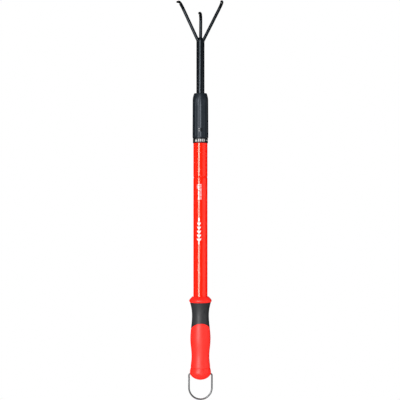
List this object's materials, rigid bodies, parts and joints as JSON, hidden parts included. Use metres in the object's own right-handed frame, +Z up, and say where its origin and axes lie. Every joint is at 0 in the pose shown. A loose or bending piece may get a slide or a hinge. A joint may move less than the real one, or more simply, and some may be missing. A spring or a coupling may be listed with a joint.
{
  "type": "telescopic hand cultivator",
  "caption": "Hand cultivator with hooked steel claws on a tube that slides in a gripped handle tube and locks with a fluted twist nut; a wire loop hangs it up.",
  "frame": {"origin": "on the tool's axis at the widest part of the grip, where the palm closes round it", "axes": "+Z up the tool from the grip to the claws, -Y the way the claws point, +X to the right of someone who faces the points"},
  "size_m": [0.0746, 0.065, 0.6366],
  "materials": {
    "red_paint": "gloss powder coat, bright red",
    "black_paint": "semi-gloss powder coat, black",
    "black_nylon": "moulded nylon, fine matt",
    "nut_nylon": "moulded glass-filled nylon, fine matt",
    "printed_nylon": "moulded nylon with printed white signs",
    "black_rubber": "soft matt elastomer",
    "red_plastic": "satin moulded polypropylene, red",
    "red_rubber": "soft satin elastomer, red",
    "white_nylon": "natural nylon",
    "steel": "drawn steel",
    "steel_wire": "bright zinc-plated wire"
  },
  "bodies": {
    "handle": {"outer_tube": "red_paint", "marking_band": "printed_nylon", "lock_collet": "black_nylon", "grip_core": "red_plastic", "neck_skin": "black_rubber", "palm_skin": "red_rubber", "grip_pin": "steel", "tube_end_plug": "black_nylon", "closing_buffer": "black_rubber"},
    "hanging_loop": {"hanging_loop": "steel_wire"},
    "guide": {"guide_bush": "white_nylon"},
    "head": {"inner_tube": "black_paint", "tail_plug": "black_nylon", "tail_pin": "steel", "tine_left": "black_paint", "tine_centre": "black_paint", "tine_right": "black_paint"},
    "press_ring": {"compression_ring": "white_nylon"},
    "nut": {"lock_nut": "nut_nylon", "wiper_ring": "black_rubber"}
  },
  "joints": [
    {"name": "loop_swing", "type": "hinge", "parent": "handle", "child": "hanging_loop", "pos_m": [0, 0, -0.0564], "axis": [1, 0, 0], "range_deg": [-155, 155]},
    {"name": "telescope", "type": "slide", "parent": "handle", "child": "guide", "axis": [0, 0, 1], "range_m": [0, 0.272]},
    {"name": "head_swivel", "type": "hinge", "parent": "guide", "child": "head", "pos_m": [0, 0, 0], "axis": [0, 0, 1], "continuous": true},
    {"name": "ring_press", "type": "slide", "parent": "handle", "child": "press_ring", "axis": [0, 0, 1], "range_m": [0, 0.0016]},
    {"name": "nut_turn", "type": "hinge", "parent": "press_ring", "child": "nut", "pos_m": [0, 0, 0.35], "axis": [0, 0, 1], "range_deg": [0, 180]}
  ],
  "couplings": [
    {"joint": "ring_press", "follows": "nut_turn", "m_per_rad": 0.00047746}
  ]
}
